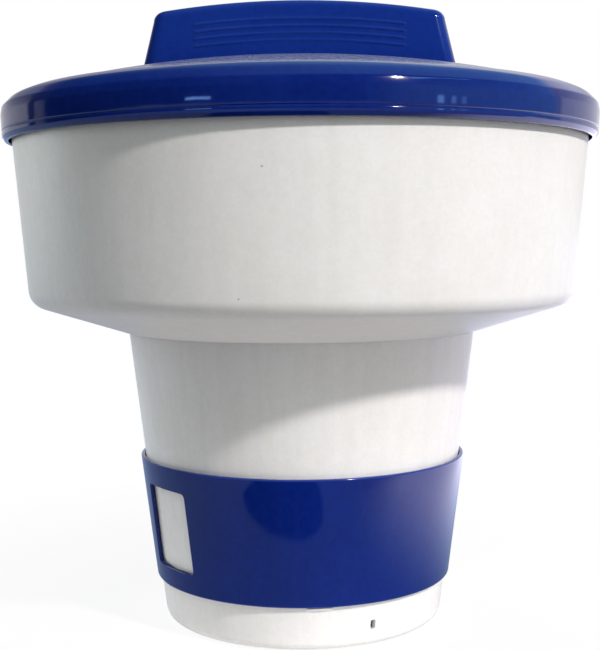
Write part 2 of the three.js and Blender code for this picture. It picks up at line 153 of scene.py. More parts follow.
def turned(x, y, z, az):
    """A point drawn at the front, turned round the axis to an azimuth."""
    ca, sa = math.cos(rad(az)), math.sin(rad(az))
    return x * ca - y * sa, x * sa + y * ca, z


# --------------------------------------------------------------- mesh helpers
def new_object(name, verts_mm, faces):
    me = bpy.data.meshes.new(name)
    me.from_pydata([(v[0] * MM, v[1] * MM, v[2] * MM) for v in verts_mm], [], faces)
    bm = bmesh.new()
    bm.from_mesh(me)
    bmesh.ops.recalc_face_normals(bm, faces=bm.faces)
    bm.to_mesh(me)
    bm.free()
    me.update()
    ob = bpy.data.objects.new(name, me)
    SCENE.collection.objects.link(ob)
    return ob


def revolve(name, outline, columns=COLUMNS, closed=True):
    """A turned solid. An open outline starts and ends on the axis."""
    verts, rows = [], []
    for r, z in outline:
        start = len(verts)
        if r < 1e-6:
            rows.append([start])
            verts.append((0.0, 0.0, z))
        else:
            for k in range(columns):
                a = 2 * math.pi * k / columns
                verts.append((r * math.sin(a), -r * math.cos(a), z))
            rows.append(list(range(start, start + columns)))
    faces = []
    for i in range(len(rows) if closed else len(rows) - 1):
        a, b = rows[i], rows[(i + 1) % len(rows)]
        for k in range(columns):
            k2 = (k + 1) % columns
            if len(a) == 1:
                faces.append((a[0], b[k2], b[k]))
            elif len(b) == 1:
                faces.append((a[k], a[k2], b[0]))
            else:
                faces.append((a[k], a[k2], b[k2], b[k]))
    return new_object(name, verts, faces)


def revolve_corners(name, corners, arc_step, longest, columns=COLUMNS, closed=True):
    """A turned solid from (r, z, fillet) corners."""
    outline = subdivide(rounded(corners, arc_step, closed), longest, closed)
    return revolve(name, outline, columns, closed)


def loft(name, rings):
    """A closed solid through rings of points (all of one length)."""
    n = len(rings[0])
    verts = [tuple(p) for ring in rings for p in ring]
    faces = []
    for i in range(len(rings) - 1):
        for k in range(n):
            k2 = (k + 1) % n
            faces.append((i * n + k, i * n + k2, (i + 1) * n + k2, (i + 1) * n + k))
    faces.append(tuple(range(n)))
    faces.append(tuple(range((len(rings) - 1) * n, len(rings) * n)))
    return new_object(name, verts, faces)


def remove(ob):
    me = ob.data
    bpy.data.objects.remove(ob)
    bpy.data.meshes.remove(me)


def join(obs):
    me = bpy.data.meshes.new("joined")
    bm = bmesh.new()
    for ob in obs:
        bm.from_mesh(ob.data)
    bm.to_mesh(me)
    bm.free()
    for ob in obs:
        remove(ob)
    joined = bpy.data.objects.new("joined", me)
    SCENE.collection.objects.link(joined)
    return joined


def boolean(ob, tool, operation):
    """Applies an exact boolean to ob and removes the tool."""
    modifier = ob.modifiers.new("cut", "BOOLEAN")
    modifier.operation = operation
    modifier.solver = "EXACT"
    modifier.object = tool
    depsgraph = bpy.context.evaluated_depsgraph_get()
    depsgraph.update()
    me = bpy.data.meshes.new_from_object(ob.evaluated_get(depsgraph), depsgraph=depsgraph)
    ob.modifiers.clear()
    old = ob.data
    ob.data = me
    me.name = ob.name
    bpy.data.meshes.remove(old)
    remove(tool)


def tidy(ob, sharp):
    """Welds, drops loose points and shades smooth up to the sharp angle."""
    bm = bmesh.new()
    bm.from_mesh(ob.data)
    bmesh.ops.remove_doubles(bm, verts=bm.verts, dist=2e-6)
    bmesh.ops.dissolve_degenerate(bm, dist=1e-7, edges=bm.edges)
    loose = [v for v in bm.verts if not v.link_faces]
    bmesh.ops.delete(bm, geom=loose, context="VERTS")
    bm.to_mesh(ob.data)
    bm.free()
    for p in ob.data.polygons:
        p.use_smooth = True
    ob.data.set_sharp_from_angle(angle=rad(sharp))
    ob.data.update()


def hole_tool(az, z_mid, half_w, half_h, corner, radius_at, depth, soften):
    """A cutter for a hole through a round wall, with its outer edge softened.
    radius_at(z) is the wall's outer radius."""
    reach = 3.0                # how far the cutter stands out of the wall
    stations = [(-depth, 0.0), (-soften, 0.0)]      # (distance outwards, growth)
    for j in range(1, 5):
        c = math.cos(rad(90 * j / 4))
        stations.append((-soften * c, soften * (1 - c)))
    stations.append((reach, soften))
    rings = []
    for outwards, grow in stations:
        ring = []
        for x, dz in rounded_rect(half_w, half_h, corner, grow, least=0.02, corner_steps=5):
            z = z_mid + dz
            r = radius_at(z)
            y = -(math.sqrt(max(r * r - x * x, 1.0)) + outwards)
            ring.append(turned(x, y, z, az))
        rings.append(ring)
    return loft("hole", rings)


# -------------------------------------------------------------- shader helpers
class Value:
    """What a node's output carries. Arithmetic on it adds Math nodes."""

    def __init__(self, graph, socket):
        self.graph = graph
        self.socket = socket

    def __add__(self, other):
        return self.graph.math("ADD", self, other)

    def __radd__(self, other):
        return self.graph.math("ADD", other, self)

    def __sub__(self, other):
        return self.graph.math("SUBTRACT", self, other)

    def __rsub__(self, other):
        return self.graph.math("SUBTRACT", other, self)

    def __mul__(self, other):
        return self.graph.math("MULTIPLY", self, other)

    def __truediv__(self, other):
        return self.graph.math("DIVIDE", self, other)

    def __pow__(self, other):
        return self.graph.math("POWER", self, other)

    def __lt__(self, other):
        return self.graph.math("LESS_THAN", self, other)

    def __gt__(self, other):
        return self.graph.math("GREATER_THAN", self, other)

    def __abs__(self):
        return self.graph.math("ABSOLUTE", self)

    def ramp(self, over, to=(0.0, 1.0), smooth=True):
        """Maps the range over to the range to, held constant beyond the ends."""
        kind = "SMOOTHSTEP" if smooth else "LINEAR"
        return self.graph.node("MapRange", self, *over, *to, interpolation_type=kind, clamp=True)


class Graph:
    """The node tree of a material or world, emptied and ready to build."""

    def __init__(self, owner):
        owner.use_nodes = True
        self.tree = owner.node_tree
        self.tree.nodes.clear()

    def node(self, kind, *values, sockets=None, output=0, **settings):
        """Adds a node, fills its inputs and returns one output, or a tuple of them.
        values go to the first inputs in order, sockets to inputs by name or index."""
        node = self.tree.nodes.new("ShaderNode" + kind)
        for key, setting in settings.items():
            setattr(node, key, setting)
        for key, value in {**dict(enumerate(values)), **(sockets or {})}.items():
            if isinstance(value, Value):
                self.tree.links.new(value.socket, node.inputs[key])
            else:
                node.inputs[key].default_value = value
        if isinstance(output, tuple):
            return tuple(Value(self, node.outputs[key]) for key in output)
        return Value(self, node.outputs[output])

    def math(self, operation, a, b=0.0):
        return self.node("Math", a, b, 0.0, operation=operation)

    def hypot(self, a, b):
        return self.math("SQRT", a * a + b * b)

    def azimuth(self, x, y):
        return self.math("ARCTAN2", x, y * -1.0)

    def mix(self, amount, first, second):
        """Mixes two colours."""
        return self.node("Mix", sockets={0: amount, 6: first, 7: second}, output=2,
                         data_type="RGBA")

    def mix_number(self, amount, first, second):
        return self.node("Mix", sockets={0: amount, 2: first, 3: second}, data_type="FLOAT")

    def tint(self, colour, toward, where, strength):
        return self.mix(where * strength, colour, toward)

    def noise(self, vector, scale, detail=2.0, rough=0.5, distort=0.0):
        return self.node("TexNoise", output="Fac", sockets={
            "Vector": vector, "Scale": scale, "Detail": detail, "Roughness": rough,
            "Distortion": distort})

    def cells(self, vector, scale):
        """The distance to the nearest of many scattered points."""
        return self.node("TexVoronoi", output="Distance", feature="F1", sockets={
            "Vector": vector, "Scale": scale, "Randomness": 1.0})

    def vector(self, x, y, z):
        return self.node("CombineXYZ", x, y, z)

    def split(self, vector):
        return self.node("SeparateXYZ", vector, output=(0, 1, 2))

    def bump(self, height, strength, distance, normal=None):
        sockets = {"Height": height, "Strength": strength, "Distance": distance}
        if normal is not None:
            sockets["Normal"] = normal
        return self.node("Bump", sockets=sockets)

    def position(self, output="Object"):
        return self.node("TexCoord", output=output)

    def facing(self):
        """0 where the surface faces the viewer, 1 where it is seen edge on."""
        return self.node("LayerWeight", 0.5, output="Facing")

    def finish(self, shader, kind="OutputMaterial"):
        output = self.tree.nodes.new("ShaderNode" + kind)
        self.tree.links.new(shader.socket, output.inputs[0])

    def surface(self, **inputs):
        sockets = {key.replace("_", " "): value for key, value in inputs.items()}
        self.finish(self.node("BsdfPrincipled", sockets=sockets))


def rgb(red, green, blue):
    return (red, green, blue, 1.0)


def scaled(base, red, green, blue):
    """A base colour with each channel multiplied."""
    return rgb(base[0] * red, base[1] * green, base[2] * blue)


# ------------------------------------------------------------------- materials
BODY_WHITE = (0.80, 0.768, 0.770)
INNER_WHITE = (0.78, 0.755, 0.750)
LID_BLUE = (0.0033, 0.0148, 0.155)
RING_BLUE = (0.0020, 0.0125, 0.145)
# single dark marks on the body: azimuth in degrees, then z, radius and size in mm
BODY_MARKS = ((-6.2, 142.0, 91.0, 0.42), (-10.7, 108.0, 88.0, 0.38))


def add_marks(graph, colour, position, marks):
    x, y, z, r = position[1:]
    az = graph.azimuth(x, y)
    for mark_az, mark_z, mark_r, size in marks:
        across = (az - rad(mark_az)) * (mark_r * MM)
        distance = graph.hypot(across, z - mark_z * MM)
        ragged = (graph.noise(position[0], scale=1800.0) - 0.5) * 0.0005
        near = (distance + ragged).ramp(over=(size * MM, size * MM * 0.35))
        colour = graph.tint(colour, toward=rgb(0.14, 0.13, 0.12), where=near, strength=0.55)
    return colour


def white_plastic(name, base, rough, dirt=1.0, marks=()):
    """Moulded off-white plastic: slightly mottled, with faint flow marks, fine
    ripple and a few dark specks."""
    material = bpy.data.materials.new(name)
    graph = Graph(material)
    pos = graph.position()
    x, y, z = graph.split(pos)
    r = graph.hypot(x, y)
    cloud = graph.noise(pos, scale=22.0, detail=4.0, rough=0.6)
    mottle = graph.noise(pos, scale=320.0, detail=3.0, rough=0.6)
    tone = cloud * 0.65 + mottle * 0.35
    # flow marks, long in height and short round the axis, on upright faces only
    safe_r = graph.math("MAXIMUM", r, 0.002)
    round_stretch, up_stretch = 0.09, 0.10
    flow = graph.vector(x / safe_r * round_stretch, y / safe_r * round_stretch, z * up_stretch)
    streak = graph.noise(flow, scale=150.0, detail=3.0, rough=0.6)
    normal_z = graph.node("SeparateXYZ", graph.node("NewGeometry", output="Normal"), output=2)
    upright = abs(normal_z).ramp(over=(0.75, 0.45))
    grain = graph.noise(pos, scale=820.0, rough=0.7)
    dark = scaled(base, 0.950, 0.945, 0.925)
    colour = graph.mix(tone.ramp(over=(0.36, 0.64)), dark, rgb(*base))
    colour = graph.tint(colour, toward=scaled(base, 0.62, 0.61, 0.60),
                        where=streak.ramp(over=(0.40, 0.66)) * upright, strength=0.075)
    colour = graph.tint(colour, toward=scaled(base, 0.60, 0.60, 0.60),
                        where=grain.ramp(over=(0.36, 0.66)), strength=0.075)
    # scattered specks of darker resin
    largest = 0.05
    size = graph.noise(pos, scale=31.0, detail=1.0).ramp(over=(0.62, 0.80)) * largest
    colour = graph.tint(colour, toward=rgb(0.20, 0.19, 0.17),
                        where=graph.cells(pos, scale=95.0) < size, strength=0.30 * dirt)
    if marks:
        colour = add_marks(graph, colour, (pos, x, y, z, r), marks)
    # smudges from handling
    smudge = graph.noise(pos, scale=9.0, detail=5.0, rough=0.65, distort=0.8)
    smudge = smudge.ramp(over=(0.56, 0.74))
    colour = graph.tint(colour, toward=scaled(base, 0.72, 0.70, 0.64),
                        where=smudge, strength=0.09 * dirt)
    rough_spread, smudge_rough = 0.08, 0.07
    uneven = graph.noise(pos, scale=60.0, detail=3.0, rough=0.6) * rough_spread
    roughness = uneven + (rough - rough_spread / 2) + smudge * smudge_rough
    fine = graph.noise(pos, scale=1400.0)
    wave = graph.noise(pos, scale=40.0)
    normal = graph.bump(fine, strength=0.12, distance=0.00012)
    normal = graph.bump(wave, strength=0.15, distance=0.0008, normal=normal)
    # the satin surface loses its sheen at the edges
    sheen = graph.facing().ramp(over=(0.45, 0.80), to=(0.30, 0.04))
    graph.surface(Base_Color=colour, Roughness=roughness, IOR=1.49, Specular_IOR_Level=sheen,
                  Normal=normal, Subsurface_Weight=0.10,
                  Subsurface_Radius=(0.004, 0.0036, 0.003), Subsurface_Scale=0.6)
    return material


def blue_tone(graph, pos, base):
    """The blue plastic's cloudy base colour."""
    cloud = graph.noise(pos, scale=30.0, detail=4.0, rough=0.6)
    mottle = graph.noise(pos, scale=520.0, detail=3.0, rough=0.65)
    tone = cloud * 0.5 + mottle * 0.5
    return graph.mix(tone.ramp(over=(0.36, 0.64)), scaled(base, 0.75, 0.80, 0.86),
                     scaled(base, 1.2, 1.12, 1.07))


def blue_finish(graph, pos, colour, rough):
    """Adds pale scuffs; returns the colour, the roughness and a gently wavy normal."""
    stretched = graph.node("VectorMath", pos, (1.0, 1.0, 7.0), operation="MULTIPLY")
    scratch = graph.noise(stretched, scale=55.0, detail=6.0, rough=0.75, distort=1.2)
    scuff = scratch.ramp(over=(0.66, 0.80))
    colour = graph.tint(colour, toward=rgb(0.30, 0.38, 0.60), where=scuff, strength=0.03)
    rough_spread, scuff_rough = 0.05, 0.10
    uneven = graph.noise(pos, scale=70.0, detail=4.0, rough=0.6) * rough_spread
    roughness = uneven + (rough - rough_spread / 2) + scuff * scuff_rough
    wave = graph.noise(pos, scale=75.0)
    return colour, roughness, graph.bump(wave, strength=0.12, distance=0.0004)


def lid_plastic(name, base, rough):
    """Deep blue plastic with a dome that is finely grained inside its smooth border."""
    material = bpy.data.materials.new(name)
    graph = Graph(material)
    pos = graph.position()
    x, y, z = graph.split(pos)
    r = graph.hypot(x, y)
    colour = blue_tone(graph, pos, base)
    # painted light and shade: the handle is painted lighter and the skirt a little darker
    handle_painted_light = z.ramp(over=(0.174, 0.190), to=(0.05, 0.17))
    skirt_painted_shade = 0.06
    colour = graph.mix(z.ramp(over=(0.158, 0.178)),
                       graph.mix(skirt_painted_shade, colour, rgb(0.0, 0.0, 0.0)),
                       graph.mix(handle_painted_light, colour, rgb(0.016, 0.070, 0.42)))
    colour, roughness, normal = blue_finish(graph, pos, colour, rough)
    # the dome: inside the border, and close to the sphere
    dome_reach, border_gap = 0.0004, 0.1            # metres off the sphere; mm
    sphere = graph.math("SQRT", (DOME_R * MM) ** 2 - r * r) - (DOME_R - DOME_APEX) * MM
    mask = (abs(z - sphere) < dome_reach) * (r < (DOME_EDGE - border_gap) * MM)
    cell = graph.cells(pos, scale=820.0)
    cell_height, noise_height = 0.8, 0.6
    grain = cell * cell_height + graph.noise(pos, scale=1500.0, rough=0.6) * noise_height
    normal = graph.bump(grain * mask, strength=1.0, distance=0.00030, normal=normal)
    # the grain's pale flecks, with a painted sheen that makes them stronger at a grazing view
    grazing_sheen = graph.facing().ramp(over=(0.55, 0.88), to=(0.16, 1.0))
    cell_part, noise_part = 0.55, 0.8
    fleck = cell * cell_part + graph.noise(pos, scale=900.0, detail=3.0, rough=0.7) * noise_part
    colour = graph.tint(colour, toward=rgb(0.21, 0.22, 0.31),
                        where=fleck.ramp(over=(0.50, 0.85)) * mask, strength=grazing_sheen * 0.64)
    grain_rough = 0.10
    roughness = graph.mix_number(mask, roughness, roughness + grain_rough)
    # painted highlight: a thin pale line where the grain stops, stronger at a grazing view
    line_r, line_low = 0.08328, 0.1690              # radius, and the height it lies above
    edge = abs(r - line_r).ramp(over=(0.00042, 0.00028)) * (z > line_low)
    colour = graph.tint(colour, toward=rgb(0.55, 0.60, 0.74), where=edge,
                        strength=grazing_sheen * 0.85)
    graph.surface(Base_Color=colour, Roughness=roughness, IOR=1.5, Normal=normal)
    return material


def ring_plastic(name, base, rough):
    """Deep blue plastic with a painted highlight on its rims and faint upright flow streaks."""
    material = bpy.data.materials.new(name)
    graph = Graph(material)
    pos = graph.position()
    x, y, z = graph.split(pos)
    r = graph.hypot(x, y)
    colour = blue_tone(graph, pos, base)
    colour, roughness, normal = blue_finish(graph, pos, colour, rough)
    # painted highlight: the moulded rims, top and bottom, are painted lighter
    rim_painted_highlight = graph.math("MAXIMUM", z.ramp(over=(0.05305, 0.05340)),
                      z.ramp(over=(0.01480, 0.01445)))
    colour = graph.tint(colour, toward=rgb(0.030, 0.055, 0.30), where=rim_painted_highlight, strength=0.5)
    round_stretch, up_stretch = 4.0, 1.5
    flow = graph.vector(x / r * round_stretch, y / r * round_stretch, z * up_stretch)
    flow = graph.noise(flow, scale=3.0, detail=3.0, rough=0.6)
    streak = rgb(base[0] * 3.0 + 0.008, base[1] * 1.7, base[2] * 1.25)
    colour = graph.tint(colour, toward=streak, where=flow.ramp(over=(0.52, 0.75)),
                        strength=0.14)
    graph.surface(Base_Color=colour, Roughness=roughness, IOR=1.5, Normal=normal)
    return material


def rubber(name):
    material = bpy.data.materials.new(name)
    graph = Graph(material)
    pos = graph.position()
    cloud = graph.noise(pos, scale=120.0, detail=4.0, rough=0.6)
    colour = graph.mix(cloud, rgb(0.018, 0.018, 0.020), rgb(0.045, 0.045, 0.048))
    fine = graph.noise(pos, scale=1500.0, detail=3.0, rough=0.6)
    least_rough, rough_spread = 0.55, 0.15
    graph.surface(Base_Color=colour, Roughness=cloud * rough_spread + least_rough,
                  Normal=graph.bump(fine, strength=0.4, distance=0.0001))
    return material


MATERIALS = {                  # by slot
    "white_body": white_plastic("body_white_moulding", BODY_WHITE, rough=0.30,
                                marks=BODY_MARKS),
    "white_inner": white_plastic("inner_white_moulding", INNER_WHITE, rough=0.42, dirt=0.6),
    "lid_blue": lid_plastic("lid_blue_moulding", LID_BLUE, rough=0.06),
    "ring_blue": ring_plastic("ring_blue_moulding", RING_BLUE, rough=0.075),
    "seal_rubber": rubber("seal_rubber_moulding"),
}


# ------------------------------------------------------------------ float bowl
SHOULDER_SLOPE = 0.317         # rise per mm of radius
BOWL_R, BOWL_R_Z = 87.95, 107.0                     # a radius and the height it is taken at
BOWL_TAPER = (92.0 - BOWL_R) / 47.0                 # radius gained per mm of height
BOWL_RIM_Z = 157.6
COLLAR_R, COLLAR_Z = 62.5, 101.0                    # the collar round the neck, its top


def bowl_r(z):
    return BOWL_R + (z - BOWL_R_Z) * BOWL_TAPER


def shoulder_z(r):
    return NECK_Z + (r - NECK_R) * SHOULDER_SLOPE


def make_bowl():
    shoulder_wall = WALL / math.cos(math.atan(SHOULDER_SLOPE))      # measured upright
    hole_low, hole_high = wall_r(NECK_Z) + CLEARANCE, wall_r(COLLAR_Z) + CLEARANCE
    # the sharp corner of the wall line and the shoulder line
    corner_z = shoulder_z(bowl_r(0.0)) / (1 - BOWL_TAPER * SHOULDER_SLOPE)
    inner_z = corner_z + shoulder_wall - WALL * 0.25
    rim = bowl_r(BOWL_RIM_Z)
    corners = [                # r, z, fillet
        (hole_low, NECK_Z + 0.1, 0.35), (bowl_r(corner_z), corner_z, 6.0),
        (rim, BOWL_RIM_Z, 0.5), (rim - WALL, BOWL_RIM_Z, 0.5),
        (bowl_r(inner_z) - WALL, inner_z + 1.2, 4.2),
        (COLLAR_R, shoulder_z(COLLAR_R) + shoulder_wall, 1.2),
        (COLLAR_R, COLLAR_Z, 0.4), (hole_high, COLLAR_Z, 0.4),
    ]
    return revolve_corners("float_bowl_shell", corners, arc_step=9.0, longest=9.0)


# --------------------------------------------------------------- tablet basket
LUG_COUNT, LUG_AZ = 5, -66.0
LUG_LOW, LUG_TOP = 12.7, 13.85
LUG_HALF, LUG_PROUD = 4.0, 0.95
LUG_STATIONS = (-4.0, -3.8, -3.3, -2.0, 0.0, 2.0, 3.3, 3.8, 4.0)    # across its width


def basket_lug(az):
    """A low lug on the wall that thins out at both sides."""
    rings = []
    for x in LUG_STATIONS:
        fullness = max(0.0, 1 - (abs(x) / LUG_HALF) ** 8) * 0.9 + 0.1
        crest = math.sqrt(wall_r(LUG_TOP) ** 2 - x * x) + LUG_PROUD * fullness
        foot = math.sqrt(wall_r(LUG_LOW) ** 2 - x * x)
        profile = [            # r, z
            (foot - 1.2, LUG_LOW), (foot + 0.02, LUG_LOW), (crest - 0.12, 13.45),
            (crest, 13.65), (crest - 0.15, LUG_TOP), (foot - 1.2, LUG_TOP),
        ]
        rings.append([turned(x, -r, z, az) for r, z in profile])
    return loft("lug", rings)


def make_basket():
    corners = [                # r, z, fillet
        (0, 1.0), (28.6, 1.0, 0.6), (30.0, 0.0, 0.5), (wall_r(0.0), 0.0, 3.2),
        (wall_r(104.3), 104.3, 0.3), (62.3, 104.3, 0.4), (62.3, 106.5, 0.5), (58.0, 106.5, 0.8),
        (58.95, 148.2, 0.8), (63.0, 148.2, 0.4), (63.0, 150.0, 0.5), (57.0, 150.0, 0.5),
        (58.0 - WALL, 106.5, 1.0), (wall_r(102.8) - WALL, 102.8, 1.0),
        (wall_r(5.6) - WALL, 5.6, 0.8), (42.06, 1.0 + WALL, 1.6), (0, 1.0 + WALL),
    ]
    ob = revolve_corners("tablet_basket_moulding", corners, arc_step=10.0, longest=8.0,
                         closed=False)
    # on each side four upright slots, midway between the ring's windows, and a drain
    slot_az, slot_pitch, drain_az = WINDOW_AZ + 90.0, 6.0, 27.2
    tools = []
    for side in (0, 180):
        for i in range(4):
            tools.append(hole_tool(slot_az + side + (i - 1.5) * slot_pitch, WINDOW_Z,
                                   half_w=1.4, half_h=10.5, corner=0.9, radius_at=wall_r,
                                   depth=6.0, soften=0.2))
        tools.append(hole_tool(drain_az + side, 6.85, half_w=0.8, half_h=1.5, corner=0.6,
                               radius_at=wall_r, depth=5.0, soften=0.12))
    boolean(ob, join(tools), "DIFFERENCE")
    lugs = [basket_lug(LUG_AZ + 360 // LUG_COUNT * i) for i in range(LUG_COUNT)]
    boolean(ob, join(lugs), "UNION")
    return ob


# ---------------------------------------------------------------- control ring
RING_LOW, RING_HIGH = 14.2, 53.7
RING_WALL, RING_GAIN = 1.10, 0.15                   # thickness at the bottom, gain to the top


def ring_out(z):
    f = (z - RING_LOW) / (RING_HIGH - RING_LOW)
    return wall_r(z) + CLEARANCE + RING_WALL + RING_GAIN * f


def make_ring():
    in_low, in_high = wall_r(RING_LOW) + CLEARANCE, wall_r(RING_HIGH) + CLEARANCE
    corners = [                # r, z, fillet
        (in_low, RING_LOW, 0.3), (in_low + RING_WALL, RING_LOW, 0.45),
        (in_high + RING_WALL + RING_GAIN, RING_HIGH, 0.45), (in_high, RING_HIGH, 0.3),
    ]
    ob = revolve_corners("control_ring_moulding", corners, arc_step=12.0, longest=6.0,
                         columns=360)
    windows = [hole_tool(WINDOW_AZ + side, WINDOW_Z, half_w=10.75, half_h=12.6, corner=1.2,
                         radius_at=ring_out, depth=6.0, soften=0.4) for side in (0, 180)]
    boolean(ob, join(windows), "DIFFERENCE")
    return ob


# --------------------------------------------------------------------- threads
THREAD_COUNT, THREAD_SPAN = 3, 50.0                 # segments, degrees each
THREAD_LEAD, THREAD_HEIGHT = 44.0, 2.2
THREAD_Z, THREAD_GAP = 160.2, 0.45                  # mid height of the neck's, play
THREAD_BURIED = 0.6            # how deep a thread's root lies in its wall
NECK_BORE, LINER_R = 59.7, 57.7                     # the walls that carry the threads


def thread(root, crest, z_mid, az_mid):
    """A thread segment on the helix, run out low at both ends."""
    steps = 28
    half = THREAD_HEIGHT / 2
    rings = []
    for i in range(steps + 1):
        f = i / steps
        turn = (f - 0.5) * THREAD_SPAN
        z = z_mid + turn * THREAD_LEAD / 360.0
        run_out = min(1.0, min(f, 1 - f) / 0.10)
        rise = (crest - root) * (0.25 + 0.75 * math.sin(run_out * math.pi / 2))
        profile = [            # r, z from the middle
            (root, -half), (root + rise * 0.75, -half * 0.92), (root + rise, -half * 0.62),
            (root + rise, half * 0.62), (root + rise * 0.75, half * 0.92), (root, half),
        ]
        rings.append([turned(0.0, -r, z + dz, az_mid + turn) for r, dz in profile])
    return loft("thread", rings)


def add_threads(ob, root, crest, z_mid):
    threads = [thread(root, crest, z_mid, i * 360.0 / THREAD_COUNT) for i in range(THREAD_COUNT)]
    boolean(ob, join(threads), "UNION")


# ---------------------------------------------------------- float deck and liner
def make_deck():
    """The float's top plate with the threaded neck."""
    corners = [                # r, z, fillet
        (NECK_BORE, 150.4, 0.3), (62.0, 150.4, 0.4), (62.0, 159.2, 0.8), (87.8, 159.2, 0.8),
        (87.8, 153.5, 0.3), (89.3, 153.5, 0.5), (89.6, 159.2, 0.3), (92.1, 159.2, 0.3),
        (92.1, 161.0, 0.6), (62.0, 161.0, 1.2), (62.0, 165.6, 0.5), (NECK_BORE, 165.6, 0.5),
    ]
    ob = revolve_corners("float_deck_moulding", corners, arc_step=12.0, longest=8.0)
    add_threads(ob, root=NECK_BORE + THREAD_BURIED, crest=NECK_BORE - 1.4, z_mid=THREAD_Z)
    return ob


def make_liner():
    """The lid's inner disc with its threaded tube."""
    bore = LINER_R - WALL
    corners = [                # r, z, fillet
        (0, 165.0), (bore, 165.0, 1.2), (bore, 152.0, 0.5), (LINER_R, 152.0, 0.6),
        (LINER_R, 167.4, 0.5), (70.2, 167.4, 0.4), (70.2, 168.8, 0.4), (52.7, 168.8, 0.6),
        (50.7, 166.6, 0.6), (0, 166.6),
    ]
    ob = revolve_corners("lid_liner_moulding", corners, arc_step=12.0, longest=9.0,
                         closed=False)
    add_threads(ob, root=LINER_R - THREAD_BURIED, crest=LINER_R + 1.55,
                z_mid=THREAD_Z - THREAD_HEIGHT - THREAD_GAP)
    return ob


# ----------------------------------------------------------------------- seals
SEAL_COLUMNS = 192


def make_flat_seal(name, r0, r1, z0, z1):
    fillet = 0.25
    corners = [(r, z, fillet) for r, z in ((r0, z0), (r1, z0), (r1, z1), (r0, z1))]
    return revolve(name, rounded(corners, arc_step=20.0), columns=SEAL_COLUMNS)


def make_round_seal(name, r, z, thickness_r):
    return revolve(name, circle(r, z, thickness_r, 20), columns=SEAL_COLUMNS)


# ----------------------------------------------------------------------- grate
GRATE_R, GRATE_LOW = 43.2, 9.6
GRATE_TOP = GRATE_LOW + WALL
GRATE_SLOTS = ((8, 0.0, 9, 22, 4.5), (16, 11.25, 26, 38.5, 5.0))    # count, az, r, r, width
SLOT_STATIONS = ((8.0, 0.35), (9.45, 0.35), (9.85, 0.0), (11.3, 0.0), (11.75, 0.4),
                 (13.0, 0.4))                       # z, growth
LEG_CIRCLE_R = 24
LEG_STATIONS = ((9.9, 2.2), (9.3, 2.2), (6.0, 2.0), (3.8, 1.85), (3.45, 1.7),
                (3.35, 1.45))                       # z, radius


def grate_slot(az, r0, r1, width):
    """A cutter for a radial slot with softened edges."""
    rings = []
    for z, grow in SLOT_STATIONS:
        outline = rounded_rect(width / 2, (r1 - r0) / 2, width / 2 - 0.02, grow, least=0.02,
                               corner_steps=6)
        rings.append([turned(x, y - (r0 + r1) / 2, z, az) for x, y in outline])
    return loft("slot", rings)


def grate_leg(az):
    cx, cy, _ = turned(0.0, -LEG_CIRCLE_R, 0.0, az)
    return loft("leg", [[(x, y, z) for x, y in circle(cx, cy, radius, 24)]
                        for z, radius in LEG_STATIONS])


def make_grate():
    corners = [(0, GRATE_LOW), (GRATE_R, GRATE_LOW, 0.5), (GRATE_R, GRATE_TOP, 0.5),
               (0, GRATE_TOP)]
    ob = revolve_corners("tablet_grate_moulding", corners, arc_step=14.0, longest=6.0,
                         columns=192, closed=False)
    slots = [grate_slot(i * 360.0 / count + first_az, r0, r1, width)
             for count, first_az, r0, r1, width in GRATE_SLOTS for i in range(count)]
    boolean(ob, join(slots), "DIFFERENCE")
    boolean(ob, join([grate_leg(i * 90 + 22.5) for i in range(4)]), "UNION")
    return ob


# ------------------------------------------------------------------- lid cover
# The handle is a bar along X with a crowned top and leaning sides.
CROWN_Z, CROWN_SAG, CROWN_HALF = 199.8, 3.25, 43.0  # top at the middle, sag at a half chord
CROWN_R = (CROWN_HALF ** 2 + CROWN_SAG ** 2) / (2 * CROWN_SAG)
HANDLE_CORNER, HANDLE_TOP_ROUND = 4.2, 2.7
HANDLE_ROOT_Z, HANDLE_FLARE, HANDLE_SINK = 178.0, 0.9, 1.0
RIB_Z = (193.6, 191.3, 189.0, 186.7)
RIB_HALF, RIB_HALF_HEIGHT, RIB_PROUD, RIB_END = 34.0, 0.80, 0.27, 1.0
HANGER_OUT, HANGER_IN, HANGER_Z = 72.4, 70.6, 165.6  # the ring that hangs under the dome


def crown(x):
    return CROWN_Z - CROWN_R + math.sqrt(CROWN_R * CROWN_R - x * x)


def handle_half_length(z):
    return 52.5 + (47.0 - 52.5) * (z - 170.0) / 26.55


def handle_half_width(z):
    return 11.0 + (8.5 - 11.0) * (z - 170.0) / 29.8


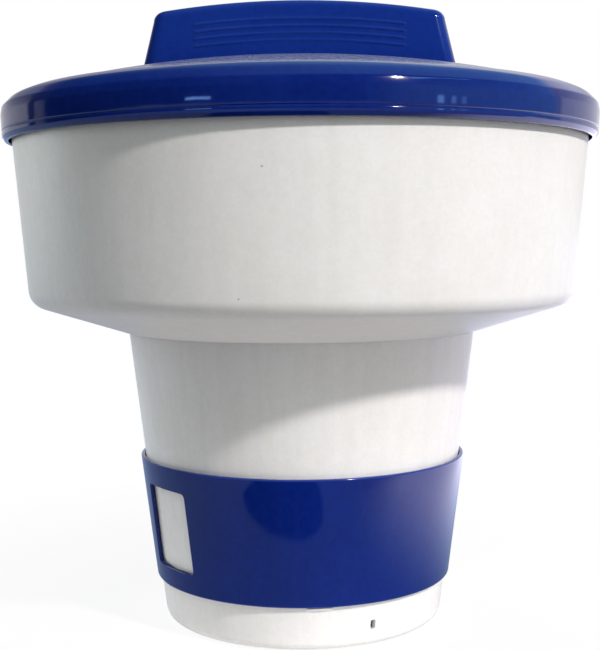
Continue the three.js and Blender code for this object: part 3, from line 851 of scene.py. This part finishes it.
def handle_block(inset=0.0):
    """The handle's solid or, with an inset, the hollow inside it."""
    flare = HANDLE_FLARE
    top_round = max(HANDLE_TOP_ROUND - inset, 1.0)
    top_level = crown(0) - top_round
    rings = []

    def ring(grow, level, height):
        """An outline as wide as the handle is at level, laid on height(x, y)."""
        outline = rounded_rect(handle_half_length(level) - inset,
                               handle_half_width(level) - inset,
                               max(HANDLE_CORNER - inset, 1.5), grow, least=0.15,
                               corner_steps=8, side_steps=24, end_steps=6)
        rings.append([(x, y, height(x, y)) for x, y in outline])

    def dome(x, y):
        return dome_z(math.hypot(x, y))

    def top(x):
        return crown(min(abs(x), 49.0)) - inset

    if inset == 0:
        # the root flares out where it meets the dome
        wall_base = flare + 0.03
        ring(flare, HANDLE_ROOT_Z, lambda x, y: dome(x, y) - HANDLE_SINK)
        for j in range(6):
            t = rad(90 * j / 5)
            rise = flare * (1 - math.cos(t)) + 0.03
            ring(flare * (1 - math.sin(t)), HANDLE_ROOT_Z + rise, lambda x, y: dome(x, y) + rise)
    else:
        # the hollow is open below
        wall_base = -3.0
        ring(0.0, 172.0, lambda x, y: 160.0)
        ring(0.0, HANDLE_ROOT_Z, lambda x, y: dome(x, y) + wall_base)
    # the wall, between the root and the start of the top rounding
    for f in (0.12, 0.3, 0.5, 0.7, 0.88, 1.0):
        def wall_height(x, y):
            low = dome(x, y) + wall_base
            return low + (top(x) - top_round - low) * f
        root_level = HANDLE_ROOT_Z + flare
        ring(0.0, root_level + (top_level - root_level) * f, wall_height)
    for j in range(1, 7):
        t = rad(90 * j / 6)
        ring(-top_round * (1 - math.cos(t)), top_level,
             lambda x, y: top(x) - top_round * (1 - math.sin(t)))
    # close the crown with shrinking rings
    left = handle_half_width(top_level) - inset - top_round
    for f in (0.35, 0.7, 0.96):
        ring(-top_round - left * f, top_level, lambda x, y: top(x))
    return loft("handle", rings)


def rib(z_mid, side):
    """A low, soft-edged rib that follows the handle's crown, with rounded ends."""
    steps, across = 44, 10
    rings = []
    for i in range(steps + 1):
        # cluster the rings towards the ends so that they close round
        x = RIB_HALF * math.sin((-1 + 2 * i / steps) * math.pi / 2)
        end = max(0.0, min(1.0, (RIB_HALF - abs(x)) / RIB_END))
        fullness = math.sqrt(max(0.0, 1 - (1 - end) ** 2)) * 0.97 + 0.03
        z_here = z_mid - (CROWN_Z - crown(x))
        ring = []
        for j in range(across + 1):
            u = -1 + 2 * j / across
            z = z_here + RIB_HALF_HEIGHT * fullness * u
            bulge = RIB_PROUD * fullness * (0.5 + 0.5 * math.cos(math.pi * u))
            ring.append((x, side * (handle_half_width(z) - 0.03 + bulge), z))
        for u in (1.0, -1.0):  # the rib's back, sunk into the handle
            z = z_here + RIB_HALF_HEIGHT * fullness * u
            ring.append((x, side * (handle_half_width(z) - 0.7), z))
        rings.append(ring)
    return loft("rib", rings)


def make_cover():
    outer = [(0.0, DOME_APEX)] + [(r, dome_z(r)) for r in np.linspace(4, DOME_EDGE, 26)]
    edge_z = dome_z(DOME_EDGE)
    step = [(DOME_EDGE + 0.25, edge_z - 0.02), (DOME_EDGE + 0.6, edge_z - 0.30)]
    # the border, down the skirt's outside, up its inside and in under the dome
    border = [                 # r, z, fillet
        (83.9, 169.55), (88.6, 168.70, 10.0), (92.4, 167.1, 6.0), (94.98, 164.35, 1.2),
        (95.4, 162.0, 3.0), (95.12, 157.25, 0.15), (94.88, 157.0, 0.12), (95.14, 156.5, 0.5),
        (95.04, 155.4, 0.8), (94.2, 154.2, 0.6), (93.1, 154.2, 0.3),
        (93.35, 162.2, 2.0), (92.0, 164.9, 2.0), (83.6, 167.2, 2.0),
        (HANGER_OUT, dome_z(HANGER_OUT) - WALL, 0.8), (HANGER_OUT, HANGER_Z, 0.4),
        (HANGER_IN, HANGER_Z, 0.4), (HANGER_IN, dome_z(HANGER_IN) - WALL, 0.8),
        (66.0, dome_z(66.0) - WALL),
    ]
    border = subdivide(rounded(border, arc_step=9.0, closed=False), 4.0, closed=False)
    under = [(r, dome_z(r) - WALL) for r in np.linspace(60, 6, 10)]
    under.append((0.0, DOME_APEX - WALL))
    ob = revolve("lid_cover_moulding", outer + step + border + under, columns=360, closed=False)
    boolean(ob, handle_block(), "UNION")
    boolean(ob, join([rib(z, side) for z in RIB_Z for side in (-1, 1)]), "UNION")
    boolean(ob, handle_block(inset=WALL), "DIFFERENCE")
    return ob


# ------------------------------------------------------------------ the pieces
def finish_piece(ob, body, node, slot, sharp=32.0):
    tidy(ob, sharp)
    ob.data.materials.clear()
    ob.data.materials.append(MATERIALS[slot])
    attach(ob, body)
    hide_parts(node)


finish_piece(make_bowl(), "float", "float_bowl", "white_body")
finish_piece(make_basket(), "float", "tablet_basket", "white_body")
finish_piece(make_deck(), "float", "float_deck", "white_inner")
finish_piece(make_grate(), "float", "tablet_grate", "white_inner")
finish_piece(make_flat_seal("deck_gasket_ring", r0=90.3, r1=92.1, z0=157.95, z1=158.85),
             "float", "deck_gasket", "seal_rubber")
finish_piece(make_round_seal("basket_seal_ring", r=60.4, z=102.65, thickness_r=1.25),
             "float", "basket_seal", "seal_rubber")
finish_piece(make_ring(), "ring", "control_ring", "ring_blue")
finish_piece(make_cover(), "lid", "lid_cover", "lid_blue", sharp=40.0)
finish_piece(make_liner(), "lid", "lid_liner", "white_inner")
finish_piece(make_flat_seal("lid_seal_ring", r0=59.9, r1=66.5, z0=165.95, z1=167.05),
             "lid_carrier", "lid_seal", "seal_rubber")


# ------------------------------------------------------------------- the stage
WHITE = rgb(1, 1, 1)
FLOOR_PALE = 0.90              # how far the floor is faded to white under the object
FLOOR_SEEN = 0.86              # its shade as the camera sees it
FLOOR_NEAR, FLOOR_FAR = 0.50, 0.18                  # its shade as it throws light back
FLOOR_LIFT = 0.62              # light it gives off upwards
# the room's light on the object, by the side it comes from
FILL_FRONT, FILL_SIDE, FILL_BACK, FILL_TOP = 0.60, 0.00, 0.00, 0.95
FILL_LEFT, FILL_RIGHT = 9.6, 0.0
# brightness of what the glossy pieces mirror
MIRROR_FRONT, MIRROR_BACK, MIRROR_RIGHT, MIRROR_HIGH = 0.02, 1.05, 0.78, 0.85
MIRROR_FLOOR = 0.42
# mirrored panes: azimuth, half width, lowest and highest elevation in degrees, power
PANES = ((-36.2, 4.6, -1.3, 0.1, 9.0), (50.9, 1.15, -2.1, 1.2, 6.0),
         (55.8, 0.9, -2.0, 1.25, 3.6), (60.0, 1.0, -1.9, 1.2, 2.4),
         (56.0, 13.0, 28.5, 33.0, 6.0))


def mirrored_floor(graph, x, y):
    """Dim and bluish, a dark rounded patch in front, lighter to the right."""
    def fourth(value, centre, half):
        value = (value - centre) if centre > 0 else (value + -centre)
        value = value / half
        square = value * value
        return square * square

    reach = (fourth(x, centre=-0.034, half=0.064) + fourth(y, centre=-0.163, half=0.047)) ** 0.25
    patch = reach.ramp(over=(1.04, 0.97))
    right = x.ramp(over=(0.05, 0.17), to=(0.0, 2.0)) * y.ramp(over=(-0.15, -0.07))
    level = right + MIRROR_FLOOR + x.ramp(over=(-0.03, -0.16), to=(0.0, 0.20))
    level = graph.mix_number(patch, level, 0.0)
    colour = graph.mix(x.ramp(over=(0.05, 0.17)), rgb(0.50, 0.66, 1.0), rgb(0.80, 0.78, 1.0))
    return graph.node("Emission", colour, level)


def floor_material():
    material = bpy.data.materials.new("pale_floor")
    graph = Graph(material)
    x, y, _ = graph.split(graph.position())
    r = graph.hypot(x, y)
    fade = r.ramp(over=(0.05, 0.26), to=(FLOOR_PALE, 1.0))
    camera_ray, glossy_ray, diffuse_ray = graph.node(
        "LightPath", output=("Is Camera Ray", "Is Glossy Ray", "Is Diffuse Ray"))
    # it throws less light back up than a white floor would
    thrown = r.ramp(over=(0.04, 0.20), to=(FLOOR_NEAR, FLOOR_FAR))
    shade = graph.mix_number(camera_ray, thrown, FLOOR_SEEN)
    blue_loss = 0.99
    diffuse = graph.node("BsdfDiffuse", graph.vector(shade, shade, shade * blue_loss))
    glow = graph.node("Emission", WHITE, 1.0)
    mirror = mirrored_floor(graph, x, y)
    # a reflector's soft lift from below
    lift_power = diffuse_ray * r.ramp(over=(0.05, 0.27), to=(FLOOR_LIFT, 0.0), smooth=False)
    lift = graph.node("Emission", rgb(1.0, 0.99, 0.98), lift_power)
    lifted = graph.node("AddShader", diffuse, lift)
    faded = graph.node("MixShader", fade * camera_ray, lifted, glow)
    floor = graph.node("MixShader", glossy_ray, faded, mirror)
    # it can't be seen from below
    backfacing = graph.node("NewGeometry", output="Backfacing")
    clear = graph.node("BsdfTransparent")
    graph.finish(graph.node("MixShader", backfacing, floor, clear))
    return material


def make_floor():
    """A plain pale floor that fades to white away from the object."""
    me = bpy.data.meshes.new("studio_floor")
    # set off centre, so that the quad's diagonal doesn't run under the object
    corners = [(-4.0, -2.5, 0), (4.0, -2.5, 0), (4.0, 5.5, 0), (-4.0, 5.5, 0)]
    me.from_pydata(corners, [], [(0, 1, 2, 3)])
    me.materials.append(floor_material())
    ob = bpy.data.objects.new("studio_floor", me)
    ob.location.z = -0.0002
    SCENE.collection.objects.link(ob)


def room_light(x, y, z):
    """How bright the room is as a light, by direction."""
    def toward(right, back):
        return x * right + y * back

    front = toward(right=0.36, back=-0.933)
    light = front.ramp(over=(0.20, 0.95), to=(FILL_SIDE, FILL_FRONT), smooth=False)
    light = light + y.ramp(over=(0.25, 0.85), to=(0.0, FILL_BACK))
    # the sky is brighter towards the key light
    keyward = toward(right=0.50, back=-0.87)
    light = light + (z.ramp(over=(0.15, 0.80), to=(0.0, FILL_TOP))
                     * keyward.ramp(over=(-0.25, 0.75)))
    back_left = toward(right=-0.72, back=0.694)
    light = light + back_left.ramp(over=(0.80, 0.98), to=(0.0, FILL_LEFT))
    right = toward(right=0.966, back=-0.259)
    return light + right.ramp(over=(0.60, 0.98), to=(0.0, FILL_RIGHT))


def room_mirrored(graph, x, y, z):
    """How bright the room is in a reflection, by direction."""
    backdrop = graph.mix_number(x.ramp(over=(-0.2, 0.2)), y.ramp(over=(0.45, 0.51)),
                                y.ramp(over=(0.30, 0.37)))
    # a low window at the left
    window = (y.ramp(over=(0.26, 0.29)) * y.ramp(over=(0.41, 0.38))
              * (x.ramp(over=(-0.5, -0.7)) * z.ramp(over=(0.22, 0.12))))
    window_power = 0.45
    backdrop = backdrop + window * window_power
    # the backdrop ends at an upper edge and dims with height and to the left
    edge = x.ramp(over=(-0.5, 0.0), to=(0.49, 0.565))
    below_edge = (z - edge).ramp(over=(0.03, -0.03))
    backdrop = backdrop * below_edge * z.ramp(over=(0.08, 0.30), to=(1.0, 0.27))
    backdrop = backdrop * (x.ramp(over=(-0.75, 0.2), to=(0.62, 1.0)) * MIRROR_BACK)
    high = z.ramp(over=(0.10, 0.45)) * (x.ramp(over=(-0.65, 0.45), to=(0.04, 1.0)) * MIRROR_HIGH)
    slant = 0.8
    high = high * (y - x * slant).ramp(over=(-0.9, 0.1))
    side = (x.ramp(over=(0.30, 0.75)) * y.ramp(over=(0.35, 0.28))
            * z.ramp(over=(0.60, 0.15), to=(0.3 * MIRROR_RIGHT, MIRROR_RIGHT)))
    return backdrop + side + (high + MIRROR_FRONT)


def mirrored_panes(az, z):
    az_soft, z_soft = 0.004, 0.001                  # half widths of their soft edges
    panes = 0.0
    for mid, half, lowest, highest, power in PANES:
        half, low, high = rad(half), math.sin(rad(lowest)), math.sin(rad(highest))
        in_width = abs(az - rad(mid)).ramp(over=(half + az_soft, half - az_soft))
        in_height = (z.ramp(over=(low - z_soft, low + z_soft))
                     * z.ramp(over=(high + z_soft, high - z_soft)))
        panes = panes + in_width * in_height * power
    return panes


def make_world():
    """A dim studio, white to the camera. Mirror rays see their own version of
    the room, with small pale panes and a bluish upper half."""
    world = bpy.data.worlds.new("studio_world")
    SCENE.world = world
    graph = Graph(world)
    x, y, z = graph.split(graph.position("Generated"))
    camera_ray, glossy_ray = graph.node("LightPath", output=("Is Camera Ray", "Is Glossy Ray"))
    light = room_light(x, y, z)
    az = graph.azimuth(x, y)
    mirror = room_mirrored(graph, x, y, z)
    panes = mirrored_panes(az, z)
    bluish = graph.math("MAXIMUM", z.ramp(over=(0.50, 0.60)), y.ramp(over=(0.34, 0.26)))
    mirror_colour = graph.mix(bluish, rgb(0.95, 0.94, 1.0), rgb(0.30, 0.60, 1.0))
    strength = graph.mix_number(glossy_ray, light, mirror)
    colour = graph.mix(glossy_ray, rgb(0.91, 1.0, 0.99), mirror_colour)
    pane_glow = graph.node("Background", rgb(0.22, 0.45, 1.0), panes * glossy_ray)
    room = graph.node("Background", graph.mix(camera_ray, colour, WHITE),
                      graph.mix_number(camera_ray, strength, 1.0))
    graph.finish(graph.node("AddShader", room, pane_glow), "OutputWorld")


def area_light(name, az, elevation, distance, size, power, colour, target=(0, 0, 0.11)):
    """A round lamp that faces its target from an azimuth and elevation."""
    lamp = bpy.data.lights.new(name, "AREA")
    lamp.shape = "DISK"
    lamp.size = size
    lamp.energy = power
    lamp.color = colour
    ob = bpy.data.objects.new(name, lamp)
    a, e = rad(az), rad(elevation)
    outwards = Vector((math.sin(a) * math.cos(e), -math.cos(a) * math.cos(e), math.sin(e)))
    ob.location = Vector(target) + outwards * distance
    ob.rotation_mode = "QUATERNION"
    ob.rotation_quaternion = (-outwards).to_track_quat("-Z", "Y")
    SCENE.collection.objects.link(ob)
    return ob


def make_lights():
    key = area_light("key_softbox", az=42.5, elevation=37.3, distance=1.9, size=0.14,
                     power=33.0, colour=(1.0, 0.985, 0.955))
    key.visible_glossy = False
    # the same lamp as the glossy pieces mirror it: a small point of light
    glint = area_light("key_glint", az=37.3, elevation=31.0, distance=1.8, size=0.065,
                       power=26.0, colour=(1.0, 0.96, 0.93), target=(0.0255, -0.091, 0.164))
    glint.visible_diffuse = False
    low = area_light("side_reflector", az=62.0, elevation=3.0, distance=1.9, size=0.35,
                     power=2.5, colour=(1.0, 0.985, 0.965), target=(0, 0, 0.15))
    low.visible_glossy = False


def make_camera():
    """In front of the object, looking slightly down and rolled a little."""
    pitch, roll = rad(4.1), rad(0.38)
    data = bpy.data.cameras.new("camera")
    data.sensor_width = 36.0
    data.lens = 66.4615385
    data.clip_start = 0.01
    data.shift_x = -0.00230769231
    camera = bpy.data.objects.new("camera", data)
    SCENE.collection.objects.link(camera)
    camera.rotation_mode = "QUATERNION"
    level = Vector((0.0, math.cos(pitch), -math.sin(pitch))).to_track_quat("-Z", "Y")
    camera.rotation_quaternion = level @ Matrix.Rotation(-roll, 3, "Z").to_quaternion()
    camera.location = (0.0, -0.397, 0.12345)
    SCENE.camera = camera


make_floor()
make_world()
make_lights()
make_camera()
SCENE.view_settings.view_transform = "Standard"
SCENE.view_settings.look = "None"

bpy.context.view_layer.update()
